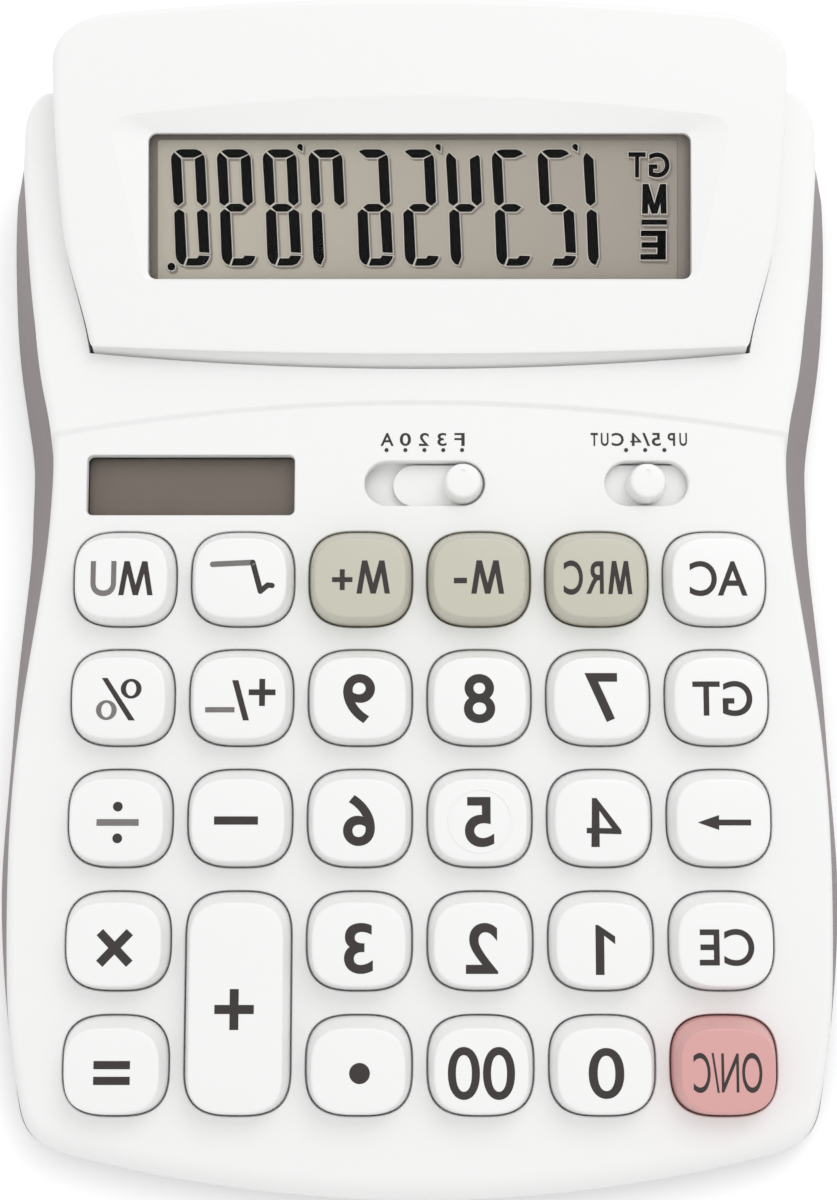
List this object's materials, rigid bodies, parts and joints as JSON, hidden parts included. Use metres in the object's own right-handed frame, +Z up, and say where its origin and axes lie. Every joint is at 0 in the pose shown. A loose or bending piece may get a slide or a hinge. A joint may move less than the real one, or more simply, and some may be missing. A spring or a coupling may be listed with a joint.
{
  "type": "desktop calculator",
  "caption": "Sloped keyboard case with soft square keys and slide switches, under a display head that tilts in a curved well at the rear.",
  "frame": {"origin": "on the resting surface, below the middle of the object's box", "axes": "+X to the right seen from the user's side, +Y from the user to the rear, +Z up"},
  "size_m": [0.1512, 0.2012, 0.0447],
  "materials": {
    "white_case": "satin, finely textured",
    "grey_case": "satin",
    "white_key": "smooth, softly glossy",
    "grey_key": "smooth, softly glossy",
    "pink_key": "smooth, softly glossy",
    "rubber": "matte",
    "steel": "plated",
    "brass": "plain",
    "board": "solder mask",
    "solar": "dark glass",
    "lcd": "reflective liquid-crystal panel",
    "clear": "clear moulded window"
  },
  "bodies": {
    "base": {"top_case": "white_case", "bottom_case": "grey_case", "keypad_membrane": "rubber", "main_board": "board", "solar_window": "clear", "solar_cell": "solar", "switch_tray": "white_case", "battery": "steel", "battery_contact_top": "brass", "battery_contact_side": "brass", "battery_door": "grey_case", "battery_door_screw": "steel", "case_screw_front_left": "steel", "case_screw_front_right": "steel", "case_screw_rear_left": "steel", "case_screw_rear_right": "steel", "foot_front_left": "rubber", "foot_front_right": "rubber", "foot_rear_left": "rubber", "foot_rear_right": "rubber", "display_cable": "rubber"},
    "display_head": {"head_front": "white_case", "head_back": "white_case", "display_window": "clear", "lcd_glass": "lcd", "lcd_connector_strip": "rubber", "display_board": "board", "hinge_pin_left": "steel", "hinge_pin_right": "steel"},
    "key_mark_up": {"key_mark_up": "white_key"},
    "key_square_root": {"key_square_root": "white_key"},
    "key_memory_plus": {"key_memory_plus": "grey_key"},
    "key_memory_minus": {"key_memory_minus": "grey_key"},
    "key_memory_recall": {"key_memory_recall": "grey_key"},
    "key_all_clear": {"key_all_clear": "white_key"},
    "key_percent": {"key_percent": "white_key"},
    "key_change_sign": {"key_change_sign": "white_key"},
    "key_9": {"key_9": "white_key"},
    "key_8": {"key_8": "white_key"},
    "key_7": {"key_7": "white_key"},
    "key_grand_total": {"key_grand_total": "white_key"},
    "key_divide": {"key_divide": "white_key"},
    "key_minus": {"key_minus": "white_key"},
    "key_6": {"key_6": "white_key"},
    "key_5": {"key_5": "white_key"},
    "key_4": {"key_4": "white_key"},
    "key_backspace": {"key_backspace": "white_key"},
    "key_multiply": {"key_multiply": "white_key"},
    "key_plus": {"key_plus": "white_key"},
    "key_3": {"key_3": "white_key"},
    "key_2": {"key_2": "white_key"},
    "key_1": {"key_1": "white_key"},
    "key_clear_entry": {"key_clear_entry": "white_key"},
    "key_equals": {"key_equals": "white_key"},
    "key_point": {"key_point": "white_key"},
    "key_double_zero": {"key_double_zero": "white_key"},
    "key_0": {"key_0": "white_key"},
    "key_on_clear": {"key_on_clear": "pink_key"},
    "decimal_switch": {"decimal_switch_slider": "white_case"},
    "rounding_switch": {"rounding_switch_slider": "white_case"}
  },
  "joints": [
    {"name": "head_tilt", "type": "hinge", "parent": "base", "child": "display_head", "pos_m": [0, 0.04623, 0.02291], "axis": [1, 0, 0], "range_deg": [-8, 20]},
    {"name": "key_mark_up_press", "type": "slide", "parent": "base", "child": "key_mark_up", "axis": [0, -0.1045, 0.9945], "range_m": [-0.0018, 0], "stiffness_N_per_m": 400, "springref_m": 0.0006, "deforming": ["keypad_membrane"]},
    {"name": "key_square_root_press", "type": "slide", "parent": "base", "child": "key_square_root", "axis": [0, -0.1045, 0.9945], "range_m": [-0.0018, 0], "stiffness_N_per_m": 400, "springref_m": 0.0006, "deforming": ["keypad_membrane"]},
    {"name": "key_memory_plus_press", "type": "slide", "parent": "base", "child": "key_memory_plus", "axis": [0, -0.1045, 0.9945], "range_m": [-0.0018, 0], "stiffness_N_per_m": 400, "springref_m": 0.0006, "deforming": ["keypad_membrane"]},
    {"name": "key_memory_minus_press", "type": "slide", "parent": "base", "child": "key_memory_minus", "axis": [0, -0.1045, 0.9945], "range_m": [-0.0018, 0], "stiffness_N_per_m": 400, "springref_m": 0.0006, "deforming": ["keypad_membrane"]},
    {"name": "key_memory_recall_press", "type": "slide", "parent": "base", "child": "key_memory_recall", "axis": [0, -0.1045, 0.9945], "range_m": [-0.0018, 0], "stiffness_N_per_m": 400, "springref_m": 0.0006, "deforming": ["keypad_membrane"]},
    {"name": "key_all_clear_press", "type": "slide", "parent": "base", "child": "key_all_clear", "axis": [0, -0.1045, 0.9945], "range_m": [-0.0018, 0], "stiffness_N_per_m": 400, "springref_m": 0.0006, "deforming": ["keypad_membrane"]},
    {"name": "key_percent_press", "type": "slide", "parent": "base", "child": "key_percent", "axis": [0, -0.1045, 0.9945], "range_m": [-0.0018, 0], "stiffness_N_per_m": 400, "springref_m": 0.0006, "deforming": ["keypad_membrane"]},
    {"name": "key_change_sign_press", "type": "slide", "parent": "base", "child": "key_change_sign", "axis": [0, -0.1045, 0.9945], "range_m": [-0.0018, 0], "stiffness_N_per_m": 400, "springref_m": 0.0006, "deforming": ["keypad_membrane"]},
    {"name": "key_9_press", "type": "slide", "parent": "base", "child": "key_9", "axis": [0, -0.1045, 0.9945], "range_m": [-0.0018, 0], "stiffness_N_per_m": 400, "springref_m": 0.0006, "deforming": ["keypad_membrane"]},
    {"name": "key_8_press", "type": "slide", "parent": "base", "child": "key_8", "axis": [0, -0.1045, 0.9945], "range_m": [-0.0018, 0], "stiffness_N_per_m": 400, "springref_m": 0.0006, "deforming": ["keypad_membrane"]},
    {"name": "key_7_press", "type": "slide", "parent": "base", "child": "key_7", "axis": [0, -0.1045, 0.9945], "range_m": [-0.0018, 0], "stiffness_N_per_m": 400, "springref_m": 0.0006, "deforming": ["keypad_membrane"]},
    {"name": "key_grand_total_press", "type": "slide", "parent": "base", "child": "key_grand_total", "axis": [0, -0.1045, 0.9945], "range_m": [-0.0018, 0], "stiffness_N_per_m": 400, "springref_m": 0.0006, "deforming": ["keypad_membrane"]},
    {"name": "key_divide_press", "type": "slide", "parent": "base", "child": "key_divide", "axis": [0, -0.1045, 0.9945], "range_m": [-0.0018, 0], "stiffness_N_per_m": 400, "springref_m": 0.0006, "deforming": ["keypad_membrane"]},
    {"name": "key_minus_press", "type": "slide", "parent": "base", "child": "key_minus", "axis": [0, -0.1045, 0.9945], "range_m": [-0.0018, 0], "stiffness_N_per_m": 400, "springref_m": 0.0006, "deforming": ["keypad_membrane"]},
    {"name": "key_6_press", "type": "slide", "parent": "base", "child": "key_6", "axis": [0, -0.1045, 0.9945], "range_m": [-0.0018, 0], "stiffness_N_per_m": 400, "springref_m": 0.0006, "deforming": ["keypad_membrane"]},
    {"name": "key_5_press", "type": "slide", "parent": "base", "child": "key_5", "axis": [0, -0.1045, 0.9945], "range_m": [-0.0018, 0], "stiffness_N_per_m": 400, "springref_m": 0.0006, "deforming": ["keypad_membrane"]},
    {"name": "key_4_press", "type": "slide", "parent": "base", "child": "key_4", "axis": [0, -0.1045, 0.9945], "range_m": [-0.0018, 0], "stiffness_N_per_m": 400, "springref_m": 0.0006, "deforming": ["keypad_membrane"]},
    {"name": "key_backspace_press", "type": "slide", "parent": "base", "child": "key_backspace", "axis": [0, -0.1045, 0.9945], "range_m": [-0.0018, 0], "stiffness_N_per_m": 400, "springref_m": 0.0006, "deforming": ["keypad_membrane"]},
    {"name": "key_multiply_press", "type": "slide", "parent": "base", "child": "key_multiply", "axis": [0, -0.1045, 0.9945], "range_m": [-0.0018, 0], "stiffness_N_per_m": 400, "springref_m": 0.0006, "deforming": ["keypad_membrane"]},
    {"name": "key_plus_press", "type": "slide", "parent": "base", "child": "key_plus", "axis": [0, -0.1045, 0.9945], "range_m": [-0.0018, 0], "stiffness_N_per_m": 400, "springref_m": 0.0006, "deforming": ["keypad_membrane"]},
    {"name": "key_3_press", "type": "slide", "parent": "base", "child": "key_3", "axis": [0, -0.1045, 0.9945], "range_m": [-0.0018, 0], "stiffness_N_per_m": 400, "springref_m": 0.0006, "deforming": ["keypad_membrane"]},
    {"name": "key_2_press", "type": "slide", "parent": "base", "child": "key_2", "axis": [0, -0.1045, 0.9945], "range_m": [-0.0018, 0], "stiffness_N_per_m": 400, "springref_m": 0.0006, "deforming": ["keypad_membrane"]},
    {"name": "key_1_press", "type": "slide", "parent": "base", "child": "key_1", "axis": [0, -0.1045, 0.9945], "range_m": [-0.0018, 0], "stiffness_N_per_m": 400, "springref_m": 0.0006, "deforming": ["keypad_membrane"]},
    {"name": "key_clear_entry_press", "type": "slide", "parent": "base", "child": "key_clear_entry", "axis": [0, -0.1045, 0.9945], "range_m": [-0.0018, 0], "stiffness_N_per_m": 400, "springref_m": 0.0006, "deforming": ["keypad_membrane"]},
    {"name": "key_equals_press", "type": "slide", "parent": "base", "child": "key_equals", "axis": [0, -0.1045, 0.9945], "range_m": [-0.0018, 0], "stiffness_N_per_m": 400, "springref_m": 0.0006, "deforming": ["keypad_membrane"]},
    {"name": "key_point_press", "type": "slide", "parent": "base", "child": "key_point", "axis": [0, -0.1045, 0.9945], "range_m": [-0.0018, 0], "stiffness_N_per_m": 400, "springref_m": 0.0006, "deforming": ["keypad_membrane"]},
    {"name": "key_double_zero_press", "type": "slide", "parent": "base", "child": "key_double_zero", "axis": [0, -0.1045, 0.9945], "range_m": [-0.0018, 0], "stiffness_N_per_m": 400, "springref_m": 0.0006, "deforming": ["keypad_membrane"]},
    {"name": "key_0_press", "type": "slide", "parent": "base", "child": "key_0", "axis": [0, -0.1045, 0.9945], "range_m": [-0.0018, 0], "stiffness_N_per_m": 400, "springref_m": 0.0006, "deforming": ["keypad_membrane"]},
    {"name": "key_on_clear_press", "type": "slide", "parent": "base", "child": "key_on_clear", "axis": [0, -0.1045, 0.9945], "range_m": [-0.0018, 0], "stiffness_N_per_m": 400, "springref_m": 0.0006, "deforming": ["keypad_membrane"]},
    {"name": "decimal_switch_slide", "type": "slide", "parent": "base", "child": "decimal_switch", "axis": [1, 0, 0], "range_m": [-0.01304, 0]},
    {"name": "rounding_switch_slide", "type": "slide", "parent": "base", "child": "rounding_switch", "axis": [1, 0, 0], "range_m": [-0.00326, 0.00326]}
  ]
}
